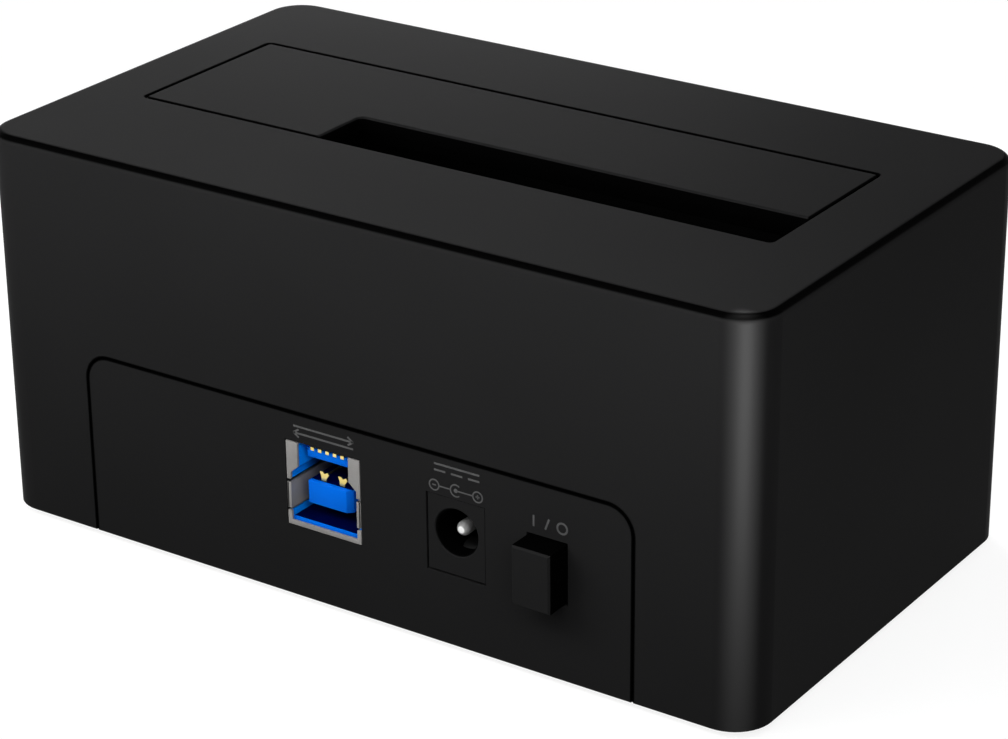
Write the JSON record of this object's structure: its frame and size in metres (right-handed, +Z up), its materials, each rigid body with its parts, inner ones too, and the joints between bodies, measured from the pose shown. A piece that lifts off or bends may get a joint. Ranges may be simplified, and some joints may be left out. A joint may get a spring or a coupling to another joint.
{
  "type": "hard drive docking station",
  "caption": "Desktop dock for an upright hard drive: box housing, spring flap over the drive bay, and a port wall with data socket, power socket and push button.",
  "frame": {"origin": "middle of the footprint, push button included, on the plane that the feet stand on", "axes": "+X along the housing's length, -Y out of the wall with the sockets, +Z up"},
  "size_m": [0.125, 0.0754, 0.0582],
  "materials": {
    "housing_plastic": "fine matte moulded plastic",
    "flap_plastic": "fine matte moulded plastic",
    "tray_plastic": "fine matte moulded plastic",
    "liner_plastic": "plain moulded plastic",
    "pin_steel": "ground steel",
    "spring_steel": "drawn spring wire",
    "foot_rubber": "soft matte rubber",
    "circuit_board": "satin solder mask",
    "screw_steel": "black oxide",
    "receptacle_plastic": "glass-filled plastic",
    "contact_gold": "gold flash",
    "usb_metal": "tin-plated stamped steel",
    "usb_blue": "satin moulded plastic",
    "jack_plastic": "plain moulded plastic",
    "nickel_plate": "nickel plate",
    "button_plastic": "matte moulded plastic",
    "switch_plastic": "plain moulded plastic",
    "plunger_plastic": "plain moulded plastic",
    "chip_black": "moulding compound",
    "crystal_can": "pressed can",
    "capacitor_can": "pressed can",
    "inductor_ferrite": "pressed powder",
    "passive_ceramic": "ceramic body",
    "led_lens": "diffusing lens",
    "light_pipe_clear": "clear moulded acrylic"
  },
  "bodies": {
    "root": {"top_shell": "housing_plastic", "base_tray": "tray_plastic", "bay_liner": "liner_plastic", "hinge_pins": "pin_steel", "flap_springs": "spring_steel", "rubber_feet": "foot_rubber", "main_board": "circuit_board", "board_screws": "screw_steel", "liner_screws": "screw_steel", "base_screws": "screw_steel", "sata_receptacle": "receptacle_plastic", "sata_contacts": "contact_gold", "usb_shell": "usb_metal", "usb_insulator": "usb_blue", "usb_upper_contacts": "contact_gold", "usb_lower_contacts": "contact_gold", "dc_jack_body": "jack_plastic", "dc_jack_pin": "nickel_plate", "dc_jack_spring": "nickel_plate", "dc_jack_terminals": "nickel_plate", "switch_body": "switch_plastic", "switch_spring": "spring_steel", "switch_terminals": "nickel_plate", "bridge_chip": "chip_black", "flash_chip": "chip_black", "crystal": "crystal_can", "capacitors": "capacitor_can", "power_inductors": "inductor_ferrite", "voltage_regulators": "chip_black", "board_passives": "passive_ceramic", "status_led": "led_lens", "light_pipe": "light_pipe_clear"},
    "flap_body": {"flap": "flap_plastic"},
    "button_body": {"power_button": "button_plastic", "switch_plunger": "plunger_plastic"}
  },
  "joints": [
    {"name": "flap_hinge", "type": "hinge", "parent": "root", "child": "flap_body", "pos_m": [0, 0.0203, 0.0542], "axis": [1, 0, 0], "range_deg": [0, 90], "stiffness_Nm_per_rad": 0.004, "springref_deg": -57.3, "deforming": ["flap_springs"]},
    {"name": "power_button_slide", "type": "slide", "parent": "root", "child": "button_body", "axis": [0, 1, 0], "range_m": [0, 0.0025], "stiffness_N_per_m": 400, "springref_m": -0.002, "deforming": ["switch_spring"]}
  ]
}
